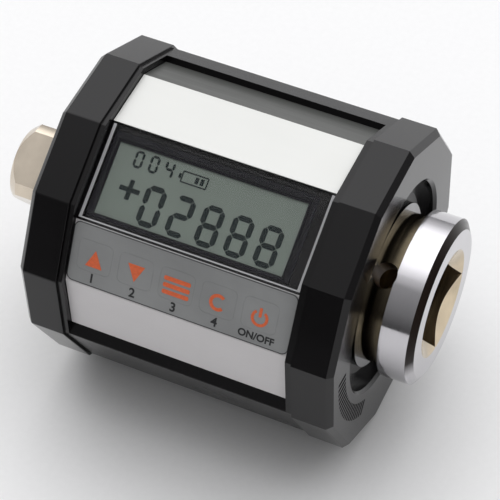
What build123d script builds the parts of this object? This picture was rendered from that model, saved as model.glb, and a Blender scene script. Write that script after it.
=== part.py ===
from build123d import *
from math import cos, pi, radians, sin, tan
import os

# Digital torque tester: a twelve-sided housing around a torque shaft, with a display and five keys.
# X runs along the drive axis towards the female square, Z is up, and the keys face -Y.
# The origin is on the bench, midway between the two ends of the shaft. Sizes are in millimetres.

# Twelve-sided housing
corner_radius = 26.5
side_count = 12
base_drop = 2.57
cap_length = 6.87
cap_chamfer = 0.95
shell_step = 0.48
shell_wall = 4.74
seam = 0.1

# Round recess, inner pocket and spigot of each end cap, and the grip grooves of the front one
recess_radius = 17.9
recess_depth = 2.25
recess_chamfer = 0.5
cap_floor = 2.1
spigot_length = 1.3
spigot_wall = 3.8
groove_patch_start = 176
groove_patch_range = 61
groove_count = 19
groove_inner_radius = 19.9
groove_length = 2.9
groove_width = 0.65
groove_depth = 0.35

# Sunk panel across five facets, with its display window
panel_depth = 1.6
panel_rear_margin = 0.84
panel_front_margin = 1.16
strip_edge = 2.4
lower_edge = 4.8
ridge_rise = 1.75
sheet_thickness = 0.7
film_thickness = 0.2
strip_angle = 60
top_angle = 90
display_angle = 120
keypad_angle = 150
lower_angle = 180
window_depth = 2.6
window_overhang = 1.34
window_thickness = 1.2
window_bevel = 0.3

# Display module behind the window
display_offset = -1.12
display_margin = 1.85
display_width = 14.3
display_thickness = 1.6
mask_thickness = 0.25
view_offset = -1.2
view_shift = -0.4
view_margin = 1.3
view_width = 12.0
display_board_width = 12.0
board_thickness = 1.0
board_end_gap = 1.4

# Five keys on the keypad facet, each in a window of the film
key_names = ("key_up", "key_down", "key_mode", "key_clear", "key_power")
key_row_offset = -0.76
key_row_drop = 0.08
key_row_margin = 1.35
key_spacing = 1.33
key_border = 2.57
key_corner = 0.95
key_thickness = 0.7
key_gap = 0.06
key_travel = 0.25
key_stem_size = 2.0
key_stem_length = 3.8
film_margin = 0.16
film_top_gap = 2.67
film_bottom_gap = 0.75
film_corner = 1.1

# Keypad board and its switches
switch_size = 2.6
switch_body = 0.55
switch_button = 0.25
switch_button_size = 1.4
keypad_board_width = 8.8
board_post_size = 1.5
board_post_inset = 1.3

# Main board on the back wall
main_post_height = 1.58
main_board_width = 12.8
chip_size = 5.6
chip_thickness = 1.1
chip_pitch = 9.6

# Torque shaft
square_size = 12.7
square_corner_radius = 7.85
square_length = 12.4
square_shoulder = 1.05
tip_radius = 4.0
tip_middle_radius = 6.35
tip_middle = 0.85
tip_length = 2.6
rear_journal_radius = 8.85
gauge_radius = 7.2
gauge_taper = 4.0
journal_clearance = 2.63
flange_depth = 4.3
journal_exposed = 1.2
groove_drop = 1.4
collar_groove = 3.82
collar_length = 5.65
collar_lip = 0.1
collar_face_step = 1.5
collar_chamfer = 0.95
mouth_radius = 9.2
mouth_depth = 1.5
socket_size = 12.8
socket_depth = 15.5
pin_hole_radius = 2.1
strain_gauge_length = 5.0
strain_gauge_width = 3.0
strain_gauge_thickness = 0.25

# Bushes and retaining ring
running_gap = 0.03
bush_wall = 1.5
bush_length = 2.5
ring_thickness = 0.8
ring_groove_depth = 0.7
ring_height = 2.1
ring_opening = 3.2

# Tie screws that pull the two end caps together
tie_angles = (60, 180, 330)
tie_circle_radius = 18.15
tie_screw_radius = 1.0
tie_hole_radius = 1.15
tie_head_radius = 1.75
tie_head_height = 1.4
tie_head_gap = 0.35
tie_grip = 3.6
tie_boss_radius = 2.25
tie_rib_width = 3.2

# Battery box below the shaft, for two N cells
cell_radius = 6.0
cell_length = 30.2
cell_spread = 6.15
cell_floor_gap = 1.7
cell_gap = 0.2
holder_wall = 0.8
holder_end_gap = 2.85
contact_thickness = 0.3
contact_size = 6.0
hatch_gap = 0.15
hatch_end_gap = 0.2
hatch_tab_length = 2.4
hatch_tab_width = 8.0

apothem = corner_radius * cos(pi / side_count)
axis_height = apothem + base_drop
holder_half = cell_length / 2 + contact_thickness
spigot_end = holder_half + holder_wall + holder_end_gap
shell_half = spigot_end + spigot_length
housing_half = shell_half + cap_length
cavity_inset = shell_step + shell_wall
cavity_apothem = apothem - cavity_inset
cavity_depth = cavity_apothem + base_drop
cap_pocket_radius = cavity_apothem - spigot_wall
recess_floor = housing_half - recess_depth
cap_inner_floor = recess_floor - cap_floor
rear_recess_radius = tie_circle_radius + tie_head_radius + tie_head_gap
plate_face = apothem - panel_depth
plate_floor = plate_face - sheet_thickness
window_face = apothem - window_depth
window_seat = window_face - window_thickness
panel_start = panel_rear_margin - shell_half
panel_end = shell_half - panel_front_margin
panel_length = panel_end - panel_start
panel_mid = (panel_end + panel_start) / 2
facet_half_width = apothem * tan(pi / side_count)
window_half_width = facet_half_width + window_overhang
display_length = panel_length - 2 * display_margin
view_length = display_length - 2 * view_margin
board_length = 2 * (spigot_end - board_end_gap)
film_length = panel_length - 2 * film_margin
key_pitch = (film_length - 2 * key_row_margin) / len(key_names)
key_length = key_pitch - key_spacing
film_width = 2 * facet_half_width - film_top_gap - film_bottom_gap
film_shift = (film_bottom_gap - film_top_gap) / 2
key_width = film_width - 2 * key_border
key_row_shift = film_shift - key_row_drop
main_board_distance = cavity_apothem - main_post_height - board_thickness
front_journal_radius = cap_pocket_radius - journal_clearance
groove_radius = front_journal_radius - groove_drop
collar_radius = front_journal_radius + collar_lip
collar_face_radius = collar_radius - collar_face_step
flange_start = cap_inner_floor - flange_depth
gauge_half_length = flange_start - gauge_taper
groove_start = recess_floor + journal_exposed
collar_start = groove_start + collar_groove
female_reach = collar_start + collar_length
male_reach = housing_half + square_shoulder + square_length
housing_mid = (male_reach - female_reach) / 2
cell_drop = cavity_depth - cell_radius - cell_floor_gap
trough_radius = cell_radius + cell_gap
holder_outer = cell_spread + trough_radius + holder_wall
hatch_half_width = holder_outer - holder_wall - hatch_gap
hatch_length = 2 * (spigot_end - hatch_end_gap) - hatch_tab_length
drive_axis = Axis((housing_mid, 0, axis_height), (1, 0, 0))


def section_plane(x):
    """Plane square to the drive axis at x from mid-housing, with its origin on the axis."""
    return Plane(origin=(housing_mid + x, 0, axis_height), x_dir=(0, 1, 0), z_dir=(1, 0, 0))


def facet_plane(angle, distance):
    """Plane parallel to a facet at a distance from the drive axis; its y runs up the facet."""
    normal = (0, cos(radians(angle)), sin(radians(angle)))
    origin = (housing_mid, normal[1] * distance, axis_height + normal[2] * distance)
    return Plane(origin=origin, x_dir=(1, 0, 0), z_dir=normal)


def facet_point(angle, distance, shift):
    """Section point on a facet at a distance from the axis, shifted down the facet's front side."""
    a = radians(angle)
    return (distance * cos(a) - shift * sin(a), distance * sin(a) + shift * cos(a))


def corner_point(angle, distance):
    """Section point where the facet at this angle meets the next one before it."""
    return facet_point(angle, distance, -distance * tan(pi / side_count))


def housing_outline(inset, mode=Mode.ADD):
    """Twelve-sided outline, set in by an inset, with the four lowest corners dropped."""
    radius = corner_radius - inset / cos(pi / side_count)
    points = []
    for i in range(side_count):
        a = 2 * pi * (i + 0.5) / side_count
        drop = base_drop if sin(a) < -0.5 else 0
        points.append((radius * cos(a), radius * sin(a) - drop))
    return Polygon(*points, align=None, mode=mode)


def key_points():
    """Centre of each key on the keypad facet."""
    return [(key_row_offset + (i - 2) * key_pitch, key_row_shift) for i in range(len(key_names))]


def tie_points():
    """Centre of each tie screw on a section plane."""
    return [facet_point(angle, tie_circle_radius, 0) for angle in tie_angles]


def save(part, name):
    """Label a finished piece and write it under its own name."""
    part.label = name
    export_step(part, f"parts/{name}.step")


os.makedirs("parts", exist_ok=True)

# Centre shell: the faceted tube between the caps, sunk for the panel and open for the display
outside = apothem + 10
wall_rise = (apothem - shell_step - plate_floor) / ridge_rise
with BuildPart() as centre_shell:
    with BuildSketch(section_plane(-shell_half)):
        housing_outline(shell_step)
        housing_outline(cavity_inset, Mode.SUBTRACT)
    extrude(amount=2 * shell_half)
    with BuildSketch(section_plane(-spigot_end + seam)):
        with Locations(*tie_points()):
            Circle(tie_boss_radius)
        for angle in tie_angles:
            rib_length = cavity_apothem + 2 - tie_circle_radius
            with Locations(facet_point(angle, tie_circle_radius + rib_length / 2, 0)):
                Rectangle(rib_length, tie_rib_width, rotation=angle)
    extrude(amount=2 * (spigot_end - seam))
    with BuildSketch(section_plane(-shell_half)):
        with Locations(*tie_points()):
            Circle(tie_hole_radius)
    extrude(amount=2 * shell_half, mode=Mode.SUBTRACT)
    with BuildSketch(section_plane(panel_start)):
        Polygon(
            facet_point(strip_angle, plate_floor, -strip_edge),
            corner_point(top_angle, plate_floor),
            corner_point(display_angle, plate_floor),
            corner_point(keypad_angle, plate_floor),
            corner_point(lower_angle, plate_floor),
            facet_point(lower_angle, plate_floor, lower_edge),
            facet_point(lower_angle, outside, lower_edge + (outside - plate_floor) / wall_rise),
            facet_point(keypad_angle, outside, 0),
            facet_point(display_angle, outside, 0),
            facet_point(top_angle, outside, 0),
            facet_point(strip_angle, outside, -strip_edge),
            align=None,
        )
    extrude(amount=panel_length, mode=Mode.SUBTRACT)
    with BuildSketch(facet_plane(display_angle, window_seat)):
        with Locations((panel_mid, 0)):
            Rectangle(panel_length, 2 * (window_half_width + seam))
    extrude(amount=outside, mode=Mode.SUBTRACT)
    with BuildSketch(facet_plane(display_angle, window_seat)):
        with Locations((display_offset, 0)):
            Rectangle(display_length + 2 * seam, display_width + 2 * seam)
    extrude(amount=cavity_apothem - window_seat - shell_wall / 2, mode=Mode.SUBTRACT)
    with BuildSketch(facet_plane(keypad_angle, plate_floor)):
        with Locations(*key_points()):
            Rectangle(key_length + 2 * key_gap, key_width + 2 * key_gap)
    extrude(amount=-key_travel, mode=Mode.SUBTRACT)
    with BuildSketch(facet_plane(keypad_angle, plate_floor)):
        with Locations(*key_points()):
            Rectangle(key_stem_size + 2 * key_gap, key_stem_size + 2 * key_gap)
    extrude(amount=-shell_wall, mode=Mode.SUBTRACT)
    with Locations((housing_mid, 0, axis_height - cavity_depth)):
        Box(hatch_length, 2 * hatch_half_width, 2 * shell_wall, mode=Mode.SUBTRACT)

# Posts inside the shell that carry the keypad board and the main board
key_face = plate_face + film_thickness
stem_end = key_face - key_thickness - key_stem_length
switch_top = stem_end - key_travel - seam
keypad_board_face = switch_top - switch_button - switch_body
with BuildPart() as shell_with_posts:
    add(centre_shell.part)
    with BuildSketch(facet_plane(keypad_angle, keypad_board_face)):
        with Locations((0, key_row_shift)):
            with GridLocations(
                board_length - 2 * board_post_inset, keypad_board_width - 2 * board_post_inset, 2, 2
            ):
                Rectangle(board_post_size, board_post_size)
    extrude(amount=cavity_apothem + seam - keypad_board_face)
    with BuildSketch(facet_plane(0, main_board_distance + board_thickness)):
        with GridLocations(
            board_length - 2 * board_post_inset, main_board_width - 2 * board_post_inset, 2, 2
        ):
            Rectangle(board_post_size, board_post_size)
    extrude(amount=cavity_apothem + seam - main_board_distance - board_thickness)
save(shell_with_posts.part, "centre_shell")

# Battery cover: the bottom piece of the shell, held by two tabs behind the shell's wall
cavity_base = axis_height - cavity_depth
with BuildPart() as battery_cover:
    with BuildSketch(section_plane(-hatch_length / 2 + hatch_gap)):
        housing_outline(shell_step)
        housing_outline(cavity_inset, Mode.SUBTRACT)
    extrude(amount=hatch_length - 2 * hatch_gap)
    with Locations((housing_mid, 0, cavity_base)):
        Box(hatch_length, 2 * (hatch_half_width - hatch_gap), 2 * shell_wall, mode=Mode.INTERSECT)
    with Locations((housing_mid, 0, cavity_base)):
        with GridLocations(hatch_length, 1, 2, 1):
            Box(
                hatch_tab_length,
                hatch_tab_width,
                holder_wall,
                align=(Align.CENTER, Align.CENTER, Align.MIN),
            )
save(battery_cover.part, "battery_cover")

# Top plate: bent sheet over the strip facet and the top facet, ending at the window
with BuildPart() as top_plate:
    with BuildSketch(section_plane(panel_start + seam)):
        Polygon(
            facet_point(strip_angle, plate_floor, seam - strip_edge),
            corner_point(top_angle, plate_floor),
            corner_point(display_angle, plate_floor),
            corner_point(display_angle, plate_face),
            corner_point(top_angle, plate_face),
            facet_point(strip_angle, plate_face, seam - strip_edge),
            align=None,
        )
    extrude(amount=panel_length - 2 * seam)
    with BuildSketch(facet_plane(display_angle, window_seat)):
        with Locations((panel_mid, 0)):
            Rectangle(panel_length, 2 * (window_half_width + seam))
    extrude(amount=outside, mode=Mode.SUBTRACT)
save(top_plate.part, "top_plate")

# Front plate: bent sheet over the keypad facet and the upright facet, with the key windows
with BuildPart() as front_plate:
    with BuildSketch(section_plane(panel_start + seam)):
        Polygon(
            corner_point(keypad_angle, plate_floor),
            corner_point(lower_angle, plate_floor),
            facet_point(lower_angle, plate_floor, lower_edge - seam),
            facet_point(lower_angle, plate_face, lower_edge - seam),
            corner_point(lower_angle, plate_face),
            corner_point(keypad_angle, plate_face),
            align=None,
        )
    extrude(amount=panel_length - 2 * seam)
    with BuildSketch(facet_plane(display_angle, window_seat)):
        with Locations((panel_mid, 0)):
            Rectangle(panel_length, 2 * (window_half_width + seam))
    extrude(amount=outside, mode=Mode.SUBTRACT)
    with BuildSketch(facet_plane(keypad_angle, plate_floor)):
        with Locations(*key_points()):
            Rectangle(key_length + 2 * key_gap, key_width + 2 * key_gap)
    extrude(amount=sheet_thickness, mode=Mode.SUBTRACT)
save(front_plate.part, "front_plate")

# Keypad film with rounded corners, glued on the front plate around the keys
with BuildPart() as keypad_film:
    with BuildSketch(facet_plane(keypad_angle, plate_face)):
        with Locations((panel_mid, film_shift)):
            RectangleRounded(film_length, film_width, film_corner)
        with Locations(*key_points()):
            RectangleRounded(
                key_length + 2 * key_gap, key_width + 2 * key_gap, key_corner + key_gap, mode=Mode.SUBTRACT
            )
    extrude(amount=film_thickness)
save(keypad_film.part, "keypad_film")

# Keys: a thin pad flush with the film, with a stem that reaches down to its switch
for name, point in zip(key_names, key_points()):
    with BuildPart() as key:
        with BuildSketch(facet_plane(keypad_angle, key_face)):
            with Locations(point):
                RectangleRounded(key_length, key_width, key_corner)
        extrude(amount=-key_thickness)
        with BuildSketch(facet_plane(keypad_angle, key_face - key_thickness)):
            with Locations(point):
                Rectangle(key_stem_size, key_stem_size)
        extrude(amount=-key_stem_length)
    save(key.part, name)

# Display window with a bevelled face, and the dark mask behind it
with BuildPart() as display_window:
    with BuildSketch(facet_plane(display_angle, window_seat)):
        with Locations((panel_mid, 0)):
            Rectangle(panel_length - 2 * seam, 2 * window_half_width)
    extrude(amount=window_thickness)
    outward = Axis(drive_axis.position, facet_plane(display_angle, 0).z_dir)
    chamfer(display_window.faces().sort_by(outward)[-1].edges(), window_bevel)
save(display_window.part, "display_window")

with BuildPart() as display_mask:
    with BuildSketch(facet_plane(display_angle, window_seat - mask_thickness)):
        with Locations((display_offset, 0)):
            Rectangle(display_length, display_width)
        with Locations((view_offset, view_shift)):
            Rectangle(view_length, view_width, mode=Mode.SUBTRACT)
    extrude(amount=mask_thickness)
save(display_mask.part, "display_mask")

# Display module and the board that drives it
display_face = window_seat - mask_thickness
with BuildPart() as display_module:
    with BuildSketch(facet_plane(display_angle, display_face)):
        with Locations((display_offset, 0)):
            Rectangle(display_length, display_width)
    extrude(amount=-display_thickness)
save(display_module.part, "display_module")

with BuildPart() as display_board:
    with BuildSketch(facet_plane(display_angle, display_face - display_thickness)):
        Rectangle(board_length, display_board_width)
    extrude(amount=-board_thickness)
save(display_board.part, "display_board")

# Keypad board on its posts, with one switch under each key
with BuildPart() as keypad_board:
    with BuildSketch(facet_plane(keypad_angle, keypad_board_face)):
        with Locations((0, key_row_shift)):
            Rectangle(board_length, keypad_board_width)
    extrude(amount=-board_thickness)
save(keypad_board.part, "keypad_board")

with BuildPart() as key_switches:
    with BuildSketch(facet_plane(keypad_angle, keypad_board_face)):
        with Locations(*key_points()):
            Rectangle(switch_size, switch_size)
    extrude(amount=switch_body)
    with BuildSketch(facet_plane(keypad_angle, keypad_board_face + switch_body)):
        with Locations(*key_points()):
            Rectangle(switch_button_size, switch_button_size)
    extrude(amount=switch_button)
save(key_switches.part, "key_switches")

# Main board on the back wall, with its chips towards the shaft
with BuildPart() as main_board:
    with BuildSketch(facet_plane(0, main_board_distance)):
        Rectangle(board_length, main_board_width)
    extrude(amount=board_thickness)
save(main_board.part, "main_board")

with BuildPart() as board_chips:
    with BuildSketch(facet_plane(0, main_board_distance)):
        with GridLocations(chip_pitch, 1, 3, 1):
            Rectangle(chip_size, chip_size)
    extrude(amount=-chip_thickness)
save(board_chips.part, "board_chips")

# Drive shaft: male square, rear journal, thin gauge section, front journal, groove and collar
with BuildPart() as drive_shaft:
    with BuildSketch(Plane(origin=(housing_mid, 0, axis_height), x_dir=(1, 0, 0), z_dir=(0, -1, 0))):
        with BuildLine():
            Polyline(
                (-male_reach, 0),
                (-male_reach, tip_radius),
                (tip_middle - male_reach, tip_middle_radius),
                (tip_length - male_reach, square_corner_radius),
                (square_length - male_reach, square_corner_radius),
                (square_length - male_reach, rear_journal_radius),
                (-flange_start, rear_journal_radius),
                (-gauge_half_length, gauge_radius),
                (gauge_half_length, gauge_radius),
                (flange_start, rear_journal_radius),
                (flange_start, front_journal_radius),
                (groove_start, front_journal_radius),
                (groove_start, groove_radius),
                (collar_start, groove_radius),
                (collar_start, collar_radius),
                (female_reach - collar_chamfer, collar_radius),
                (female_reach, collar_face_radius),
                (female_reach, mouth_radius),
                (female_reach - mouth_depth, socket_size / 2),
                (female_reach - mouth_depth, 0),
                close=True,
            )
        make_face()
    revolve(axis=drive_axis)
    with BuildSketch(section_plane(-male_reach)):
        Circle(corner_radius)
        Rectangle(square_size, square_size, rotation=display_angle, mode=Mode.SUBTRACT)
    extrude(amount=square_length, mode=Mode.SUBTRACT)
    with BuildSketch(section_plane(female_reach)):
        Rectangle(socket_size, socket_size, rotation=display_angle)
    extrude(amount=-socket_depth, mode=Mode.SUBTRACT)
    with BuildSketch(facet_plane(display_angle, 0)):
        with Locations(((groove_start + collar_start) / 2, 0)):
            Circle(pin_hole_radius)
    extrude(amount=corner_radius, both=True, mode=Mode.SUBTRACT)
    with BuildSketch(section_plane(-recess_floor - seam)):
        Circle(corner_radius)
        Circle(rear_journal_radius - ring_groove_depth, mode=Mode.SUBTRACT)
    extrude(amount=-ring_thickness, mode=Mode.SUBTRACT)
save(drive_shaft.part, "drive_shaft")

# Strain gauges bonded around the middle of the gauge section
with BuildPart() as strain_gauges:
    with BuildSketch(section_plane(-strain_gauge_length / 2)):
        Circle(gauge_radius + strain_gauge_thickness)
        Circle(gauge_radius, mode=Mode.SUBTRACT)
        Rectangle(2 * corner_radius, strain_gauge_width, rotation=45, mode=Mode.INTERSECT)
    extrude(amount=strain_gauge_length)
    with BuildSketch(section_plane(-strain_gauge_length / 2)):
        Circle(gauge_radius + strain_gauge_thickness)
        Circle(gauge_radius, mode=Mode.SUBTRACT)
        Rectangle(2 * corner_radius, strain_gauge_width, rotation=135, mode=Mode.INTERSECT)
    extrude(amount=strain_gauge_length)
save(strain_gauges.part, "strain_gauges")


def end_cap(sign, rim_radius, bore_radius):
    """End cap with a round recess around the shaft, an inner pocket and a spigot in the shell."""
    with BuildPart() as cap:
        with BuildSketch(section_plane(sign * shell_half)):
            housing_outline(0)
        extrude(amount=sign * cap_length)
        chamfer(cap.faces().sort_by(Axis.X)[-1 if sign > 0 else 0].edges(), cap_chamfer)
        with BuildSketch(section_plane(sign * spigot_end)):
            housing_outline(cavity_inset + seam)
        extrude(amount=sign * spigot_length)
        with BuildSketch(section_plane(sign * recess_floor)):
            Circle(rim_radius)
        extrude(amount=sign * recess_depth, mode=Mode.SUBTRACT)
        recess_edge = cap.edges().filter_by(GeomType.CIRCLE).sort_by(Axis.X)[-1 if sign > 0 else 0]
        chamfer(recess_edge, recess_chamfer)
        with BuildSketch(section_plane(sign * spigot_end)):
            Circle(cap_pocket_radius)
        extrude(amount=sign * (cap_inner_floor - spigot_end), mode=Mode.SUBTRACT)
        with BuildSketch(section_plane(sign * cap_inner_floor)):
            Circle(bore_radius)
        extrude(amount=sign * cap_floor, mode=Mode.SUBTRACT)
    return cap.part


# Front cap: blind holes take the ends of the tie screws, and short grooves mark the lower front of its rim
front_bush_radius = front_journal_radius + running_gap + bush_wall
with BuildPart() as front_end_cap:
    add(end_cap(1, recess_radius, front_bush_radius))
    with BuildSketch(section_plane(spigot_end)):
        with Locations(*tie_points()):
            Circle(tie_screw_radius)
    extrude(amount=tie_grip + seam, mode=Mode.SUBTRACT)
    with BuildSketch(section_plane(housing_half)):
        with PolarLocations(
            groove_inner_radius + groove_length / 2, groove_count, groove_patch_start, groove_patch_range
        ):
            Rectangle(groove_length, groove_width)
    extrude(amount=-groove_depth, mode=Mode.SUBTRACT)
save(front_end_cap.part, "front_end_cap")

# Rear cap: the tie screws pass through its recess floor
rear_bush_radius = rear_journal_radius + running_gap + bush_wall
with BuildPart() as rear_end_cap:
    add(end_cap(-1, rear_recess_radius, rear_bush_radius))
    with BuildSketch(section_plane(-spigot_end)):
        with Locations(*tie_points()):
            Circle(tie_hole_radius)
    extrude(amount=spigot_end - housing_half, mode=Mode.SUBTRACT)
save(rear_end_cap.part, "rear_end_cap")

# Tie screws, seated in the rear recess and threaded into the front cap
with BuildPart() as tie_screws:
    with BuildSketch(section_plane(-recess_floor)):
        with Locations(*tie_points()):
            Circle(tie_screw_radius)
    extrude(amount=recess_floor + spigot_end + tie_grip)
    with BuildSketch(section_plane(-recess_floor)):
        with Locations(*tie_points()):
            Circle(tie_head_radius)
            RegularPolygon(tie_screw_radius, 6, mode=Mode.SUBTRACT)
    extrude(amount=-tie_head_height)
save(tie_screws.part, "tie_screws")

# Plain bushes between the shaft and the caps
with BuildPart() as front_bush:
    with BuildSketch(section_plane(recess_floor)):
        Circle(front_bush_radius)
        Circle(front_journal_radius + running_gap, mode=Mode.SUBTRACT)
    extrude(amount=-bush_length)
save(front_bush.part, "front_bush")

with BuildPart() as rear_bush:
    with BuildSketch(section_plane(-recess_floor)):
        Circle(rear_bush_radius)
        Circle(rear_journal_radius + running_gap, mode=Mode.SUBTRACT)
    extrude(amount=bush_length)
save(rear_bush.part, "rear_bush")

# Retaining ring that stops the shaft behind the rear bush
ring_inner_radius = rear_journal_radius - ring_groove_depth
with BuildPart() as retaining_ring:
    with BuildSketch(section_plane(-recess_floor - seam)):
        Circle(ring_inner_radius + ring_height)
        Circle(ring_inner_radius, mode=Mode.SUBTRACT)
        with Locations((0, -corner_radius)):
            Rectangle(ring_opening, 2 * corner_radius, mode=Mode.SUBTRACT)
    extrude(amount=-ring_thickness)
save(retaining_ring.part, "retaining_ring")

# Battery box: two cells below the shaft, under troughs that stand on the shell beside the cover
cell_points = [(-cell_spread, -cell_drop), (cell_spread, -cell_drop)]
with BuildPart() as battery_cells:
    with BuildSketch(section_plane(-cell_length / 2)):
        with Locations(*cell_points):
            Circle(cell_radius)
    extrude(amount=cell_length)
save(battery_cells.part, "battery_cells")

with BuildPart() as battery_contacts:
    with BuildSketch(section_plane(cell_length / 2)):
        with Locations(*cell_points):
            Rectangle(contact_size, contact_size)
    extrude(amount=contact_thickness)
    with BuildSketch(section_plane(-cell_length / 2)):
        with Locations(*cell_points):
            Rectangle(contact_size, contact_size)
    extrude(amount=-contact_thickness)
save(battery_contacts.part, "battery_contacts")

foot_height = (holder_outer - cavity_apothem * tan(pi / side_count)) * tan(2 * pi / side_count)
foot_level = foot_height - cavity_depth + 2 * seam
with BuildPart() as battery_holder:
    with BuildSketch(section_plane(-holder_half)):
        with Locations(*cell_points):
            Circle(trough_radius + holder_wall)
        with Locations((0, -cell_drop - corner_radius)):
            Rectangle(2 * corner_radius, 2 * corner_radius, mode=Mode.SUBTRACT)
        with Locations(((holder_outer - holder_wall / 2), (foot_level - cell_drop) / 2)):
            Rectangle(holder_wall, -cell_drop - foot_level)
        with Locations((-(holder_outer - holder_wall / 2), (foot_level - cell_drop) / 2)):
            Rectangle(holder_wall, -cell_drop - foot_level)
        with Locations(*cell_points):
            Circle(trough_radius, mode=Mode.SUBTRACT)
    extrude(amount=2 * holder_half)
    for sign in (-1, 1):
        with BuildSketch(section_plane(sign * holder_half)):
            with Locations(*cell_points):
                Circle(trough_radius + holder_wall)
            with Locations((0, foot_level - corner_radius)):
                Rectangle(2 * corner_radius, 2 * corner_radius, mode=Mode.SUBTRACT)
        extrude(amount=sign * holder_wall)
save(battery_holder.part, "battery_holder")
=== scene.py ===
import math

import bmesh
import bpy
from bpy.props import FloatProperty, FloatVectorProperty, PointerProperty, StringProperty
from bpy.types import Operator, Panel, PropertyGroup
from mathutils import Matrix, Vector


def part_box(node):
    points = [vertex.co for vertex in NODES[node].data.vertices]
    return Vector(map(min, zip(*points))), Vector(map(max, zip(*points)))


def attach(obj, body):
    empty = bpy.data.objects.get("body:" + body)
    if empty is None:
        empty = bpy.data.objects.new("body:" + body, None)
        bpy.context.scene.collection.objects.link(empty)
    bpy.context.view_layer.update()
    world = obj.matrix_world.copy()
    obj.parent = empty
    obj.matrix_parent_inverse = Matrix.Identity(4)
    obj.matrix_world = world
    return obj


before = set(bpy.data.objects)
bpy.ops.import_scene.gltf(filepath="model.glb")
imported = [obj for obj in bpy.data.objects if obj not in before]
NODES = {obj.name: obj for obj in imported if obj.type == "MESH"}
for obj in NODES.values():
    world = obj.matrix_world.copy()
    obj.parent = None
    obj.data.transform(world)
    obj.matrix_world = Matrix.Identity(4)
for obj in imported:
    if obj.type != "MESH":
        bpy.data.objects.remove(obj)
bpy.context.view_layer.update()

bl_info = {
    "name": "Torque Tester Finishes",
    "version": (1, 0, 0),
    "blender": (4, 5, 0),
    "location": "3D View > Sidebar > Torque Tester",
    "description": "Finishes, display segments and key marks for a twelve-sided torque tester",
    "category": "Object",
}

MM = 0.001
MICRON = 0.000001
HOUSING = "housing"

# Facets around the drive axis, in degrees from the back, counted over the top
STRIP, DISPLAY, KEYPAD = 60, 120, 150

KEYS = ("key_up", "key_down", "key_mode", "key_clear", "key_power")
LABELS = ("1", "2", "3", "4", "ON/OFF")

# The seven bars of a digit, from a at the top clockwise to f, and g in the middle
BARS = {
    "0": "abcdef",
    "1": "bc",
    "2": "abged",
    "3": "abgcd",
    "4": "fgbc",
    "5": "afgcd",
    "6": "afgedc",
    "7": "abc",
    "8": "abcdefg",
    "9": "abcdfg",
}

# Middle of the housing on the drive axis, and how far the caps and the shaft reach from it
shaft_low, shaft_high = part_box("drive_shaft")
front_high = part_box("front_end_cap")[1]
rear_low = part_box("rear_end_cap")[0]
AXIS = Vector(((front_high.x + rear_low.x) / 2, 0, (shaft_low.z + shaft_high.z) / 2))
CAP_FACE = front_high.x - AXIS.x
SHAFT_END = shaft_high.x - AXIS.x

# Zones of the shaft. The chamfer and the socket are measured from the shaft's end, the groove
# and the journals from the cap's face, and a reach is a distance from the drive axis
CHAMFER_LENGTH = 1.0 * MM
CHAMFER_LEAN = (0.3, 0.97)
SOCKET_DEPTH = 15.6 * MM
SOCKET_REACH = 9.1 * MM
GROOVE_START = -1.06 * MM
GROOVE_END = 2.8 * MM
GROOVE_REACH = 13.0 * MM
JOURNAL_END = -1.0 * MM

# Cross hole in the groove, from mid-housing
HOLE_SHIFT = 28.08 * MM
HOLE_RADIUS = 2.13 * MM
HOLE_LEAN = 0.3

# Painted reflection on the collar's chamfer: dark on its upper half, it turns bright between these
# heights over the drive axis
REFLECTION_FADE_LOW = -6 * MM
REFLECTION_FADE_HIGH = 3 * MM
CHAMFER_REFLECTION_DARK = 0.3

# Ring on the front cap's end face that holds the short grooves
PATCH_INNER = 19.8 * MM
PATCH_OUTER = 22.9 * MM
PATCH_SKIN = 0.02 * MM
PATCH_DEPTH = 0.4 * MM
# Share by which the cap's colour is darkened in the grooves, as painted shade
PATCH_PAINTED_SHADE = 0.8

# Grey band on the strip facet, across the facet from its middle
BAND_LOW = -6.26 * MM
BAND_HIGH = 2.33 * MM
BAND_THICKNESS = 0.04 * MM

# Web between a key and the film, inside their gap
KEY_CORNER = 0.95 * MM
WEB_INNER = 0.004 * MM
WEB_OUTER = 0.056 * MM
WEB_DEPTH = 0.02 * MM
WEB_THICKNESS = 0.1 * MM

# Painted shadow along the edge of the keypad film
FILM_CORNER = 1.1 * MM
SHADOW_WIDTH = 0.14 * MM
SHADOW_THICKNESS = 0.03 * MM

# Marks on the keys, as shares of half a mark's height, with arcs in degrees
MARK_LEVEL = -1.37 * MM
MODE_BAR, MODE_CORNER, MODE_STEP = 0.5, 0.2, 0.8
CLEAR_INNER, CLEAR_ARC = 0.62, (45, 315)
POWER_INNER, POWER_ARC = 0.68, (125, 415)
POWER_DROP, POWER_RISE = 0.1, 0.55
POWER_BAR, POWER_BAR_HEIGHT, POWER_CORNER = 0.34, 1.1, 0.1

# Type size of a lone number and of a word, as shares of the label's size
NUMBER_SIZE = 1.35
WORD_SIZE = 1.05

# Painted highlight along the cut edge of the window
HIGHLIGHT_SIDE = 0.5 * MM
HIGHLIGHT_LONG = 0.22 * MM
HIGHLIGHT_THICKNESS = 0.03 * MM

# Large digits on the display: middle of the first, then from one to the next
DIGIT_START = (-8.8 * MM, -2.7 * MM)
DIGIT_STEP = 5.02 * MM
DIGIT_GAP = 0.06 * MM

# Small digits above them
COUNT_START = (-13.5 * MM, 3.75 * MM)
COUNT_STEP = 2.65 * MM
COUNT_HEIGHT = 2.85 * MM
COUNT_WIDTH = 1.6 * MM
COUNT_BAR = 0.42 * MM
COUNT_GAP = 0.03 * MM

# Plus sign, whose upright is a little thinner than its bar
PLUS_PLACE = (-13.2 * MM, -1.25 * MM)
PLUS_WIDTH = 3.5 * MM
PLUS_HEIGHT = 3.3 * MM
PLUS_BAR = 0.78 * MM
PLUS_THINNER = 0.98

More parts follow.
